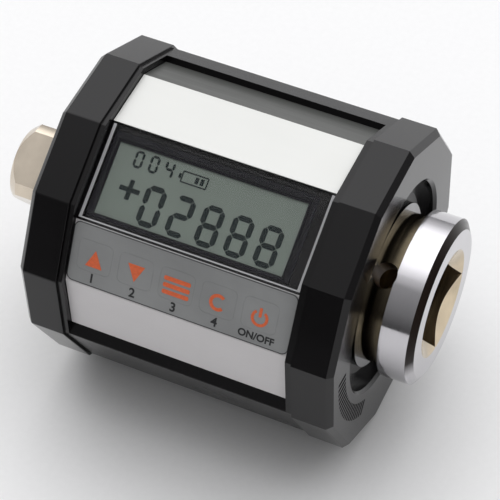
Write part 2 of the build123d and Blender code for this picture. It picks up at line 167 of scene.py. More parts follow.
# Battery outline, its tip and its two bars of charge
BATTERY_PLACE = (-3.7 * MM, 3.45 * MM)
BATTERY_SIZE = (4.3 * MM, 1.75 * MM)
BATTERY_LINE = 0.22 * MM
BATTERY_CORNER = 0.2
TIP_SIZE = (0.4 * MM, 0.8 * MM)
TIP_SHIFT = 0.36 * MM
CHARGE_SIZE = (0.6 * MM, 1.05 * MM)
CHARGE_SHIFTS = (0.4 * MM, 1.3 * MM)
SEGMENT_CORNER = 0.08 * MM

# Colours of the bushes, the fasteners and what is inside the housing
BUSH_BLACK = (0.01, 0.01, 0.01)
FASTENER_GREY = (0.32, 0.32, 0.33)
BOARD_GREEN = (0.03, 0.16, 0.07)
CHIP_BLACK = (0.02, 0.02, 0.022)
GAUGE_BROWN = (0.55, 0.3, 0.08)
CELL_BLUE = (0.12, 0.25, 0.5)
CONTACT_YELLOW = (0.7, 0.55, 0.25)
HOLDER_BLACK = (0.02, 0.02, 0.02)
WINDOW_CLEAR = (0.97, 0.98, 0.98)

# Noise lies mostly between these values, and is squeezed along x, y and z in these ways
NOISE_LOW, NOISE_HIGH = 0.3, 0.7
NOISE_ROUGHNESS = 0.55
EVEN = (1, 1, 1)
BRUSHED = (0.08, 1, 1)
TURNED = (1, 0.02, 0.02)

# Turning lines to the metre, on fine and on worn plating
FINE_LINES = 2600.0
WORN_LINES = 1500.0

# Smoothing of the CAD nodes, and steps of a round corner and of a round mark
WELD_REACH = 5 * MICRON
CAP_EDGE = 0.15 * MM
BEVEL_STEPS = 3
BEVEL_ANGLE = math.radians(12)
CREASE_ANGLE = math.radians(22)
LEVEL_WEIGHT = 100
FACE_SLACK = 0.02 * MM
CORNER_STEPS = 6
RING_STEPS = 28

# Brightness of the dome, from opposite its peak to the peak
DOME_STEPS = (
    (0, 0.02), (0.3, 0.03), (0.5, 0.1), (0.75, 0.16), (0.85, 0.36), (0.93, 0.74), (1, 0.95),
)
DOME_BLUE = 1.01

# Camera's sensor width in millimetres, and the nearest distance that it sees
SENSOR_WIDTH = 36
NEAR_CLIP = 0.01


def facet_normal(angle):
    """Outward direction of a facet at this angle around the drive axis."""
    return Vector((0, math.cos(math.radians(angle)), math.sin(math.radians(angle))))


def facet_reach(node, angle):
    """Distance from the drive axis to the outermost point of a node, square to a facet."""
    normal = facet_normal(angle)
    return max((v.co - AXIS).dot(normal) for v in NODES[node].data.vertices)


def facet_frame(angle, distance):
    """Matrix whose x runs along the drive axis, y up the facet, and z out of it."""
    out = facet_normal(angle)
    along = Vector((1, 0, 0))
    up = out.cross(along)
    place = Matrix((along, up, out)).transposed().to_4x4()
    place.translation = AXIS + out * distance
    return place


def flat_reach(node, angle, distance):
    """Lowest and highest corner, across a facet, of a node's points this far out or further."""
    flat = facet_frame(angle, 0).inverted()
    points = [flat @ v.co for v in NODES[node].data.vertices]
    points = [p for p in points if p.z > distance - FACE_SLACK]
    xs = [p.x for p in points]
    ys = [p.y for p in points]
    return (min(xs), min(ys)), (max(xs), max(ys))


def middle_and_size(low, high):
    """Middle and size of the rectangle between two corners."""
    middle = ((low[0] + high[0]) / 2, (low[1] + high[1]) / 2)
    return middle, (high[0] - low[0], high[1] - low[1])


def finish_piece(name, shape, place, body, material):
    """Turn a bmesh into a named piece in a facet's frame, riding on a body."""
    mesh = bpy.data.meshes.new(name)
    bmesh.ops.recalc_face_normals(shape, faces=shape.faces)
    shape.to_mesh(mesh)
    shape.free()
    mesh.transform(place)
    mesh.materials.append(material)
    piece = bpy.data.objects.new(name, mesh)
    bpy.context.scene.collection.objects.link(piece)
    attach(piece, body)


def add_outline(shape, outline, low, high):
    """Add a flat-sided slab with this outline between two levels."""
    floor = [shape.verts.new((x, y, low)) for x, y in outline]
    roof = [shape.verts.new((x, y, high)) for x, y in outline]
    shape.faces.new(floor[::-1])
    shape.faces.new(roof)
    for i, corner in enumerate(floor):
        after = (i + 1) % len(floor)
        shape.faces.new((corner, floor[after], roof[after], roof[i]))


def add_ring(shape, outer, inner, low, high):
    """Add a slab between two outlines that have the same number of points."""
    levels = ((outer, low), (outer, high), (inner, high), (inner, low))
    walls = [[shape.verts.new((x, y, z)) for x, y in line] for line, z in levels]
    count = len(outer)
    for first, second in zip(walls, walls[1:] + walls[:1]):
        for i in range(count):
            after = (i + 1) % count
            shape.faces.new((first[i], first[after], second[after], second[i]))


def round_outline(width, height, radius, centre):
    """Outline of a rectangle with round corners."""
    x = width / 2 - radius
    y = height / 2 - radius
    points = []
    for cx, cy, start in ((x, y, 0), (-x, y, 90), (-x, -y, 180), (x, -y, 270)):
        for i in range(CORNER_STEPS + 1):
            a = math.radians(start + 90 * i / CORNER_STEPS)
            px = centre[0] + cx + radius * math.cos(a)
            py = centre[1] + cy + radius * math.sin(a)
            points.append((px, py))
    return points


def bar_outlines(digit, centre, height, width, bar, slant, gap):
    """Outlines of the lit bars of one digit."""
    half_w = width / 2 - bar / 2
    half_h = height / 2 - bar / 2
    t = bar / 2
    lines = {
        "a": ((-half_w, half_h), (half_w, half_h)),
        "b": ((half_w, half_h), (half_w, 0)),
        "c": ((half_w, 0), (half_w, -half_h)),
        "d": ((-half_w, -half_h), (half_w, -half_h)),
        "e": ((-half_w, -half_h), (-half_w, 0)),
        "f": ((-half_w, 0), (-half_w, half_h)),
        "g": ((-half_w, 0), (half_w, 0)),
    }
    outlines = []
    for letter in BARS[digit]:
        start, end = (Vector(p) for p in lines[letter])
        along = (end - start).normalized()
        side = Vector((-along.y, along.x)) * t
        start = start + along * gap
        end = end - along * gap
        ring = (
            start,
            start + along * t + side,
            end - along * t + side,
            end,
            end - along * t - side,
            start + along * t - side,
        )
        outlines.append([(centre[0] + p.x + p.y * slant, centre[1] + p.y) for p in ring])
    return outlines


def arc_outline(centre, outer, inner, start, end):
    """Outline of part of a ring, between two angles in degrees."""
    points = []
    for k in range(RING_STEPS + 1):
        a = math.radians(start + (end - start) * k / RING_STEPS)
        points.append((math.cos(a), math.sin(a)))
    edge = [(centre[0] + outer * c, centre[1] + outer * s) for c, s in points]
    edge += [(centre[0] + inner * c, centre[1] + inner * s) for c, s in reversed(points)]
    return edge


def battery_outlines():
    """Outlines of a small battery with two bars of charge."""
    x, y = BATTERY_PLACE
    w, h = BATTERY_SIZE
    t = BATTERY_LINE
    corner = t * BATTERY_CORNER
    outlines = []
    sides = ((0, h / 2, w, t), (0, -h / 2, w, t), (w / 2, 0, t, h), (-w / 2, 0, t, h))
    for dx, dy, dw, dh in sides:
        outlines.append(round_outline(dw, dh, corner, (x + dx, y + dy)))
    outlines.append(round_outline(*TIP_SIZE, SEGMENT_CORNER, (x - w / 2 - TIP_SHIFT, y)))
    for dx in CHARGE_SHIFTS:
        outlines.append(round_outline(*CHARGE_SIZE, SEGMENT_CORNER, (x + dx, y)))
    return outlines


def material_tree(name):
    """New node material with its tree, shader and object coordinates."""
    material = bpy.data.materials.new(name)
    material.use_nodes = True
    tree = material.node_tree
    shader = tree.nodes["Principled BSDF"]
    coords = tree.nodes.new("ShaderNodeTexCoord")
    return material, tree, shader, coords


def noise(tree, coords, scale, stretch=EVEN, detail=4.0):
    """Noise in object space, in cycles per metre, squeezed along chosen axes."""
    mapping = tree.nodes.new("ShaderNodeMapping")
    mapping.inputs["Scale"].default_value = stretch
    tree.links.new(coords.outputs["Object"], mapping.inputs["Vector"])
    texture = tree.nodes.new("ShaderNodeTexNoise")
    texture.inputs["Scale"].default_value = scale
    texture.inputs["Detail"].default_value = detail
    texture.inputs["Roughness"].default_value = NOISE_ROUGHNESS
    tree.links.new(mapping.outputs["Vector"], texture.inputs["Vector"])
    return texture.outputs["Fac"]


def spread(tree, source, low, high, start=NOISE_LOW, end=NOISE_HIGH):
    """Map a value onto another range."""
    span = tree.nodes.new("ShaderNodeMapRange")
    span.inputs["From Min"].default_value = start
    span.inputs["From Max"].default_value = end
    span.inputs["To Min"].default_value = low
    span.inputs["To Max"].default_value = high
    tree.links.new(source, span.inputs["Value"])
    return span.outputs["Result"]


def tint(tree, shader, source, dark, light):
    """Let the base colour run between two shades."""
    ramp = tree.nodes.new("ShaderNodeValToRGB")
    ramp.color_ramp.elements[0].color = (*dark, 1)
    ramp.color_ramp.elements[1].color = (*light, 1)
    ramp.color_ramp.elements[0].position = NOISE_LOW
    ramp.color_ramp.elements[1].position = NOISE_HIGH
    tree.links.new(source, ramp.inputs["Fac"])
    tree.links.new(ramp.outputs["Color"], shader.inputs["Base Color"])


def roughen(tree, shader, source, low, high):
    """Let the roughness run between two values."""
    tree.links.new(spread(tree, source, low, high), shader.inputs["Roughness"])


def relief(tree, shader, source, strength, depth):
    """Bump a surface by a height in metres."""
    bump = tree.nodes.new("ShaderNodeBump")
    bump.inputs["Strength"].default_value = strength
    bump.inputs["Distance"].default_value = depth
    tree.links.new(source, bump.inputs["Height"])
    tree.links.new(bump.outputs["Normal"], shader.inputs["Normal"])


def shades(colour, change):
    """A darker and a lighter shade of one colour."""
    darker = tuple(c * (1 - change) for c in colour)
    lighter = tuple(min(1, c * (1 + change)) for c in colour)
    return darker, lighter


def moulded_plastic(name, colour, roughness, specular=0.5, grain=1600.0, depth=10 * MICRON):
    """Moulded plastic with faint flow shades, fine grain and rubbed patches."""
    material, tree, shader, coords = material_tree(name)
    flow = noise(tree, coords, scale=60.0)
    fine = noise(tree, coords, scale=grain, detail=3.0)
    tint(tree, shader, flow, *shades(colour, change=0.12))
    roughen(tree, shader, flow, low=roughness * 0.85, high=roughness * 1.2)
    shader.inputs["Specular IOR Level"].default_value = specular
    relief(tree, shader, fine, strength=0.25, depth=depth)
    return material


def satin_sheet(name, colour, roughness, metallic):
    """Thin satin sheet with a short brushed grain along the drive axis."""
    material, tree, shader, coords = material_tree(name)
    brushed = noise(tree, coords, scale=900.0, stretch=BRUSHED, detail=5.0)
    cloud = noise(tree, coords, scale=45.0)
    tint(tree, shader, cloud, *shades(colour, change=0.02))
    roughen(tree, shader, brushed, low=roughness * 0.85, high=roughness * 1.15)
    shader.inputs["Metallic"].default_value = metallic
    relief(tree, shader, brushed, strength=0.12, depth=8 * MICRON)
    return material


def turned_metal(name, colour, roughness, lines=FINE_LINES, stain=0.05):
    """Plated metal with fine turning lines around the drive axis and faint stains."""
    material, tree, shader, coords = material_tree(name)
    turning = noise(tree, coords, scale=lines, stretch=TURNED, detail=3.0)
    cloud = noise(tree, coords, scale=120.0)
    tint(tree, shader, cloud, *shades(colour, stain))
    roughen(tree, shader, turning, low=roughness * 0.7, high=roughness * 1.35)
    shader.inputs["Metallic"].default_value = 1.0
    relief(tree, shader, turning, strength=0.15, depth=4 * MICRON)
    return material


def painted_reflection_edge(name, dark, bright):
    """Plated edge with a painted reflection, dark on its upper half and bright below, with fine
    turning lines.
    """
    material, tree, shader, coords = material_tree(name)
    parts = tree.nodes.new("ShaderNodeSeparateXYZ")
    tree.links.new(coords.outputs["Object"], parts.inputs["Vector"])
    height = spread(tree, parts.outputs["Z"], 1, 0, AXIS.z + REFLECTION_FADE_LOW, AXIS.z + REFLECTION_FADE_HIGH)
    tint(tree, shader, height, dark, bright)
    turning = noise(tree, coords, scale=FINE_LINES, stretch=TURNED, detail=3.0)
    roughen(tree, shader, turning, low=0.18, high=0.3)
    shader.inputs["Metallic"].default_value = 1.0
    shader.inputs["Specular IOR Level"].default_value = 0.1
    relief(tree, shader, turning, strength=0.15, depth=4 * MICRON)
    return material


def printed_ink(name, colour, specular=0.5):
    """Screen-printed ink, slightly uneven at its own fine scale."""
    material, tree, shader, coords = material_tree(name)
    speck = noise(tree, coords, scale=2400.0, detail=3.0)
    tint(tree, shader, speck, *shades(colour, change=0.1))
    roughen(tree, shader, speck, low=0.45, high=0.6)
    shader.inputs["Specular IOR Level"].default_value = specular
    relief(tree, shader, speck, strength=0.1, depth=4 * MICRON)
    return material


def clear_plastic(name):
    """Clear window plastic with the faintest ripple."""
    material, tree, shader, coords = material_tree(name)
    ripple = noise(tree, coords, scale=70.0, detail=2.0)
    shader.inputs["Base Color"].default_value = (*WINDOW_CLEAR, 1)
    shader.inputs["Roughness"].default_value = 0.02
    shader.inputs["IOR"].default_value = 1.18
    shader.inputs["Transmission Weight"].default_value = 1.0
    shader.inputs["Specular IOR Level"].default_value = 0.3
    relief(tree, shader, ripple, strength=0.01, depth=10 * MICRON)
    return material


def floor_paper(name, colour):
    """Matt paper with a very faint fibre."""
    material, tree, shader, coords = material_tree(name)
    fibre = noise(tree, coords, scale=900.0, detail=3.0)
    tint(tree, shader, fibre, *shades(colour, change=0.01))
    shader.inputs["Roughness"].default_value = 0.9
    shader.inputs["Specular IOR Level"].default_value = 0.2
    relief(tree, shader, fibre, strength=0.05, depth=20 * MICRON)
    return material


def display_film(name, colour):
    """Green-grey backing of a segment display, cloudy and finely grained."""
    material, tree, shader, coords = material_tree(name)
    cloud = noise(tree, coords, scale=90.0)
    grain = noise(tree, coords, scale=5200.0, detail=2.0)
    tint(tree, shader, cloud, *shades(colour, change=0.05))
    roughen(tree, shader, grain, low=0.4, high=0.6)
    relief(tree, shader, grain, strength=0.2, depth=4 * MICRON)
    return material


def circuit_board(name, colour):
    """Lacquered board with raised tracks in a lighter shade."""
    material, tree, shader, coords = material_tree(name)
    darker = shades(colour, change=0.2)[0]
    lighter = shades(colour, change=0.8)[1]
    tracks = tree.nodes.new("ShaderNodeTexBrick")
    tracks.inputs["Scale"].default_value = 300.0
    tracks.inputs["Color1"].default_value = (*colour, 1)
    tracks.inputs["Color2"].default_value = (*darker, 1)
    tracks.inputs["Mortar"].default_value = (*lighter, 1)
    tree.links.new(coords.outputs["Object"], tracks.inputs["Vector"])
    tree.links.new(tracks.outputs["Color"], shader.inputs["Base Color"])
    shader.inputs["Roughness"].default_value = 0.35
    relief(tree, shader, tracks.outputs["Fac"], strength=0.2, depth=10 * MICRON)
    return material


def paint_node(node, material, edge=0.0):
    """Give a CAD node its material, smooth round faces and, where asked, rounded edges."""
    part = NODES[node]
    part.data.materials.clear()
    part.data.materials.append(material)
    for face in part.data.polygons:
        face.use_smooth = True
    weld = part.modifiers.new("Weld", "WELD")
    weld.merge_threshold = WELD_REACH
    if edge:
        bevel = part.modifiers.new("Edge round", "BEVEL")
        bevel.width = edge
        bevel.segments = BEVEL_STEPS
        bevel.limit_method = "ANGLE"
        bevel.angle_limit = BEVEL_ANGLE
        bevel.harden_normals = True
        bevel.use_clamp_overlap = True
        level = part.modifiers.new("Flat faces", "WEIGHTED_NORMAL")
        level.mode = "FACE_AREA"
        level.weight = LEVEL_WEIGHT
    else:
        split = part.modifiers.new("Crisp edges", "EDGE_SPLIT")
        split.split_angle = CREASE_ANGLE


def paint_faces(node, material, belongs):
    """Give a material to those faces of a node whose middle and direction pass a test."""
    part = NODES[node]
    slot = len(part.data.materials)
    part.data.materials.append(material)
    for face in part.data.polygons:
        if belongs(face.center - AXIS, face.normal):
            face.material_index = slot


def axis_distance(point):
    """Distance of a point from the drive axis."""
    return math.hypot(point.y, point.z)


class TesterFinishes(PropertyGroup):
    """Colours of the tester's surfaces, among them painted shade, shadow and highlight."""

    cap_colour: FloatVectorProperty(
        name="Cap Colour", description="Black plastic of the end caps and the housing",
        subtype="COLOR", default=(0.0035, 0.003, 0.0035), min=0, max=1,
    )
    plate_colour: FloatVectorProperty(
        name="Plate Colour", description="Pale sheet on the top facet",
        subtype="COLOR", default=(0.76, 0.765, 0.74), min=0, max=1,
    )
    front_shade_colour: FloatVectorProperty(
        name="Front Colour", description="Slightly pinkish sheet on the upright facet, darkened by painted shade",
        subtype="COLOR", default=(0.66, 0.64, 0.645), min=0, max=1,
    )
    strip_colour: FloatVectorProperty(
        name="Strip Colour", description="Bare grey band on the facet behind the top",
        subtype="COLOR", default=(0.085, 0.088, 0.083), min=0, max=1,
    )
    keypad_colour: FloatVectorProperty(
        name="Keypad Colour", description="Grey film of the keypad and its keys",
        subtype="COLOR", default=(0.27, 0.275, 0.275), min=0, max=1,
    )
    film_shadow_colour: FloatVectorProperty(
        name="Film Shadow Colour", description="Painted shadow along the film's edge",
        subtype="COLOR", default=(0.03, 0.03, 0.032), min=0, max=1,
    )
    mark_colour: FloatVectorProperty(
        name="Mark Colour", description="Orange marks printed on the keys",
        subtype="COLOR", default=(0.72, 0.13, 0.04), min=0, max=1,
    )
    label_colour: FloatVectorProperty(
        name="Label Colour", description="Dark numbers printed under the keys",
        subtype="COLOR", default=(0.012, 0.012, 0.014), min=0, max=1,
    )
    mask_colour: FloatVectorProperty(
        name="Mask Colour", description="Dark mask round the display",
        subtype="COLOR", default=(0.006, 0.0055, 0.008), min=0, max=1,
    )
    backing_colour: FloatVectorProperty(
        name="Display Backing", description="Green-grey backing behind the segments",
        subtype="COLOR", default=(0.1, 0.12, 0.102), min=0, max=1,
    )
    segment_colour: FloatVectorProperty(
        name="Segment Colour", description="Lit segments of the display",
        subtype="COLOR", default=(0.005, 0.009, 0.009), min=0, max=1,
    )
    window_highlight_colour: FloatVectorProperty(
        name="Window Highlight Colour", description="Painted highlight along the cut edge of the window",
        subtype="COLOR", default=(0.42, 0.42, 0.43), min=0, max=1,
    )
    yellow_colour: FloatVectorProperty(
        name="Yellow Plating", description="Yellowish plating of the socket",
        subtype="COLOR", default=(0.56, 0.47, 0.34), min=0, max=1,
    )
    square_colour: FloatVectorProperty(
        name="Square Colour", description="Warm plating of the male square",
        subtype="COLOR", default=(0.58, 0.51, 0.42), min=0, max=1,
    )
    groove_shade_colour: FloatVectorProperty(
        name="Groove Colour", description="Brownish plating in the groove behind the collar, darkened by painted shade",
        subtype="COLOR", default=(0.24, 0.2, 0.135), min=0, max=1,
    )
    journal_shade_colour: FloatVectorProperty(
        name="Journal Colour", description="Steel of the front journal, darkened by painted shade",
        subtype="COLOR", default=(0.16, 0.16, 0.165), min=0, max=1,
    )
    hole_shade_colour: FloatVectorProperty(
        name="Hole Colour", description="Painted shade on the wall of the cross hole",
        subtype="COLOR", default=(0.03, 0.018, 0.013), min=0, max=1,
    )
    shaft_colour: FloatVectorProperty(
        name="Shaft Colour", description="Bright plating of the collar and the bare shaft",
        subtype="COLOR", default=(0.52, 0.51, 0.53), min=0, max=1,
    )


class TesterMarks(PropertyGroup):
    """Reading on the display and sizes of the printed marks."""

    reading: StringProperty(
        name="Reading", description="Large digits on the display", default="02888",
    )
    count: StringProperty(
        name="Count", description="Small digits on the display", default="004",
    )
    digit_height: FloatProperty(
        name="Digit Height", description="Height of a large digit",
        default=6.7 * MM, unit="LENGTH",
    )
    digit_width: FloatProperty(
        name="Digit Width", description="Width of a large digit",
        default=3.6 * MM, unit="LENGTH",
    )
    digit_bar: FloatProperty(
        name="Digit Bar", description="Breadth of one bar of a large digit",
        default=0.9 * MM, unit="LENGTH",
    )
    slant: FloatProperty(
        name="Slant", description="Lean of the digits to the right", default=0.0,
    )
    ink_thickness: FloatProperty(
        name="Ink Thickness", description="Thickness of the printed marks",
        default=0.03 * MM, unit="LENGTH",
    )
    glyph_size: FloatProperty(
        name="Glyph Size", description="Height of a mark on a key",
        default=2.9 * MM, unit="LENGTH",
    )
    mode_width: FloatProperty(
        name="Mode Width", description="Width of the three bars on the middle key",
        default=4.6 * MM, unit="LENGTH",
    )
    label_size: FloatProperty(
        name="Label Size", description="Height of the labels under the keys",
        default=1.6 * MM, unit="LENGTH",
    )
    label_weight: FloatProperty(
        name="Label Weight", description="Growth of the letters' strokes",
        default=0.05 * MM, unit="LENGTH",
    )
    label_drop: FloatProperty(
        name="Label Drop", description="From the middle of the facet down to the labels",
        default=4.78 * MM, unit="LENGTH",
    )


class TesterStage(PropertyGroup):
    """Camera, floor and light."""

    azimuth: FloatProperty(
        name="Azimuth", description="Camera's turn around the tester",
        default=math.radians(26.511), subtype="ANGLE",
    )
    elevation: FloatProperty(
        name="Elevation", description="Camera's height above the horizon",
        default=math.radians(51.178), subtype="ANGLE",
    )
    roll: FloatProperty(
        name="Roll", description="Lean of the camera about its view",
        default=math.radians(-2.33), subtype="ANGLE",
    )
    distance: FloatProperty(
        name="Distance", description="From the camera to its aim",
        default=0.36335, unit="LENGTH",
    )
    aim: FloatVectorProperty(
        name="Aim", description="Point in the middle of the picture",
        default=(0.004599, -0.001156, 0.026586), subtype="TRANSLATION", precision=6,
    )
    lens: FloatProperty(
        name="Lens", description="Focal length in millimetres", default=158.86,
    )
    dome_peak: FloatVectorProperty(
        name="Dome Peak", description="Direction of the brightest part of the dome",
        default=(-0.12, 0.45, 0.885), subtype="DIRECTION",
    )
    dome_strength: FloatProperty(
        name="Dome Strength", description="Strength of the dome's light", default=2.6,
    )
    floor_size: FloatProperty(
        name="Floor Size", description="Width of the floor",
        default=6.0, unit="LENGTH",
    )
    floor_colour: FloatVectorProperty(
        name="Floor Colour", description="Pale floor and the backdrop behind it",
        subtype="COLOR", default=(0.9, 0.9, 0.9), min=0, max=1,
    )


class TESTER_OT_dress_housing(Operator):
    """Gloss black plastic on the end caps, satin black on the middle and the battery cover, and
    painted shade in the front cap's short grooves
    """

    bl_idname = "tester.dress_housing"
    bl_label = "Dress Housing"

    def execute(self, context):
        finishes = context.scene.tester_finishes
        gloss = moulded_plastic("Gloss cap plastic", finishes.cap_colour, 0.16, specular=0.27)
        satin = moulded_plastic("Satin housing plastic", finishes.cap_colour, 0.24, specular=0.25)
        for node in ("front_end_cap", "rear_end_cap"):
            paint_node(node, gloss, CAP_EDGE)
        for node in ("centre_shell", "battery_cover"):
            paint_node(node, satin)
        self.paint_groove_shade(finishes)
        return {"FINISHED"}

    @staticmethod
    def paint_groove_shade(finishes):
        """Painted shade: darker matt black in the short grooves of the front cap."""
        painted_dark = shades(finishes.cap_colour, PATCH_PAINTED_SHADE)[0]
        matt = moulded_plastic("Matt groove plastic with painted shade", painted_dark, 0.7, specular=0.05)

        def in_groove(middle, _direction):
            sunk = -PATCH_DEPTH < middle.x - CAP_FACE < -PATCH_SKIN
            return sunk and PATCH_INNER < axis_distance(middle) < PATCH_OUTER

        paint_faces("front_end_cap", matt, in_groove)


class TESTER_OT_dress_panel(Operator):
    """Pale sheet on the panel, with painted shade on its upright part, the bare grey strip, grey
    film with its keys, and a painted shadow along the film's edge
    """

    bl_idname = "tester.dress_panel"
    bl_label = "Dress Panel"

    def execute(self, context):
        finishes = context.scene.tester_finishes
        sheet = satin_sheet("Pale satin sheet", finishes.plate_colour, 0.5, metallic=0.0)
        # The upright facet's sheet is a copy of the top sheet, darkened by painted shade
        shaded = satin_sheet("Satin sheet with painted shade", finishes.front_shade_colour, 0.5, metallic=0.05)
        film = moulded_plastic("Keypad film", finishes.keypad_colour, 0.42, 0.3, grain=3200.0)
        paint_node("top_plate", sheet)
        paint_node("front_plate", shaded)
        for node in ("keypad_film", *KEYS):
            paint_node(node, film)
        self.lay_band(satin_sheet("Grey strip", finishes.strip_colour, 0.4, metallic=0.3))
        self.web_keys(film)
        self.paint_film_shadow(printed_ink("Painted film shadow", finishes.film_shadow_colour))
        return {"FINISHED"}

    @staticmethod
    def lay_band(grey):
        """Bare grey band over most of the strip facet."""
        low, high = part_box("top_plate")
        left = low.x - AXIS.x
        right = high.x - AXIS.x
        corners = [(left, BAND_LOW), (right, BAND_LOW), (right, BAND_HIGH), (left, BAND_HIGH)]
        shape = bmesh.new()
        add_outline(shape, corners, 0, BAND_THICKNESS)
        place = facet_frame(STRIP, facet_reach("top_plate", STRIP))
        finish_piece("strip_band", shape, place, HOUSING, grey)

    @staticmethod
    def paint_film_shadow(ink):
        """Thin painted shadow along the edge of the keypad film."""
        middle, (width, height) = middle_and_size(*flat_reach("keypad_film", KEYPAD, 0))
        outer = round_outline(width, height, FILM_CORNER, middle)
        inner_width = width - 2 * SHADOW_WIDTH
        inner_height = height - 2 * SHADOW_WIDTH
        inner = round_outline(inner_width, inner_height, FILM_CORNER - SHADOW_WIDTH, middle)
        shape = bmesh.new()
        add_ring(shape, outer, inner, 0, SHADOW_THICKNESS)
        place = facet_frame(KEYPAD, facet_reach("keypad_film", KEYPAD))
        finish_piece("film_edge_shadow", shape, place, HOUSING, ink)

    @staticmethod
    def web_keys(film):
        """Thin web in the gap round each key, a little below the film's face."""
        face = facet_reach("keypad_film", KEYPAD)
        shape = bmesh.new()
        for key in KEYS:
            middle, (width, height) = middle_and_size(*flat_reach(key, KEYPAD, face))
            inner, outer = (
                round_outline(width + 2 * margin, height + 2 * margin, KEY_CORNER + margin, middle)
                for margin in (WEB_INNER, WEB_OUTER)
            )
            add_ring(shape, outer, inner, -WEB_DEPTH - WEB_THICKNESS, -WEB_DEPTH)
        finish_piece("keypad_web", shape, facet_frame(KEYPAD, face), HOUSING, film)


class TESTER_OT_mark_keys(Operator):
    """Orange marks on the keys and plain labels under them"""

    bl_idname = "tester.mark_keys"
    bl_label = "Mark Keys"

    def execute(self, context):
        finishes = context.scene.tester_finishes
        marks = context.scene.tester_marks
        orange = printed_ink("Orange ink", finishes.mark_colour)
        dark = printed_ink("Dark ink", finishes.label_colour)
        key_face = facet_reach("key_mode", KEYPAD)
        film_face = facet_reach("keypad_film", KEYPAD)
        for i, key in enumerate(KEYS):
            low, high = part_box(key)
            x = (low.x + high.x) / 2 - AXIS.x
            shape = bmesh.new()
            for outline in self.mark_outlines(key, x, MARK_LEVEL, marks):
                add_outline(shape, outline, 0, marks.ink_thickness)
            finish_piece(f"{key}_mark", shape, facet_frame(KEYPAD, key_face), key, orange)
            self.label(i, x, film_face, dark, marks)
        return {"FINISHED"}

    @staticmethod
    def mark_outlines(key, x, y, marks):
        """Outlines of a key's mark: a triangle, three bars, an open ring or a power ring."""
        half = marks.glyph_size / 2
        if key == "key_up":
            return [[(x - half, y - half), (x + half, y - half), (x, y + half)]]
        if key == "key_down":
            return [[(x - half, y + half), (x, y - half), (x + half, y + half)]]
        if key == "key_mode":
            bar = (marks.mode_width, half * MODE_BAR, half * MODE_CORNER)
            return [round_outline(*bar, (x, y + step * half * MODE_STEP)) for step in (-1, 0, 1)]
        if key == "key_clear":
            return [arc_outline((x, y), half, half * CLEAR_INNER, *CLEAR_ARC)]
        ring = arc_outline((x, y - half * POWER_DROP), half, half * POWER_INNER, *POWER_ARC)
        bar = (half * POWER_BAR, half * POWER_BAR_HEIGHT, half * POWER_CORNER)
        return [ring, round_outline(*bar, (x, y + half * POWER_RISE))]

    @staticmethod
    def label(index, x, face, material, marks):
        """Plain number under a key, or ON/OFF under the last."""
        name = f"key_label_{index + 1}"
        curve = bpy.data.curves.new(name, "FONT")
        curve.body = LABELS[index]
        curve.size = marks.label_size * (NUMBER_SIZE if len(curve.body) == 1 else WORD_SIZE)
        curve.align_x = "CENTER"
        curve.align_y = "CENTER"
        curve.extrude = marks.ink_thickness / 2
        curve.offset = marks.label_weight
        text = bpy.data.objects.new(name, curve)
        context = bpy.context
        context.scene.collection.objects.link(text)
        context.view_layer.update()
        mesh = bpy.data.meshes.new_from_object(text)
        bpy.data.objects.remove(text)
        place = facet_frame(KEYPAD, face + marks.ink_thickness / 2)
        mesh.transform(place @ Matrix.Translation((x, -marks.label_drop, 0)))
        mesh.materials.clear()
        mesh.materials.append(material)
        piece = bpy.data.objects.new(name, mesh)
        context.scene.collection.objects.link(piece)
        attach(piece, HOUSING)


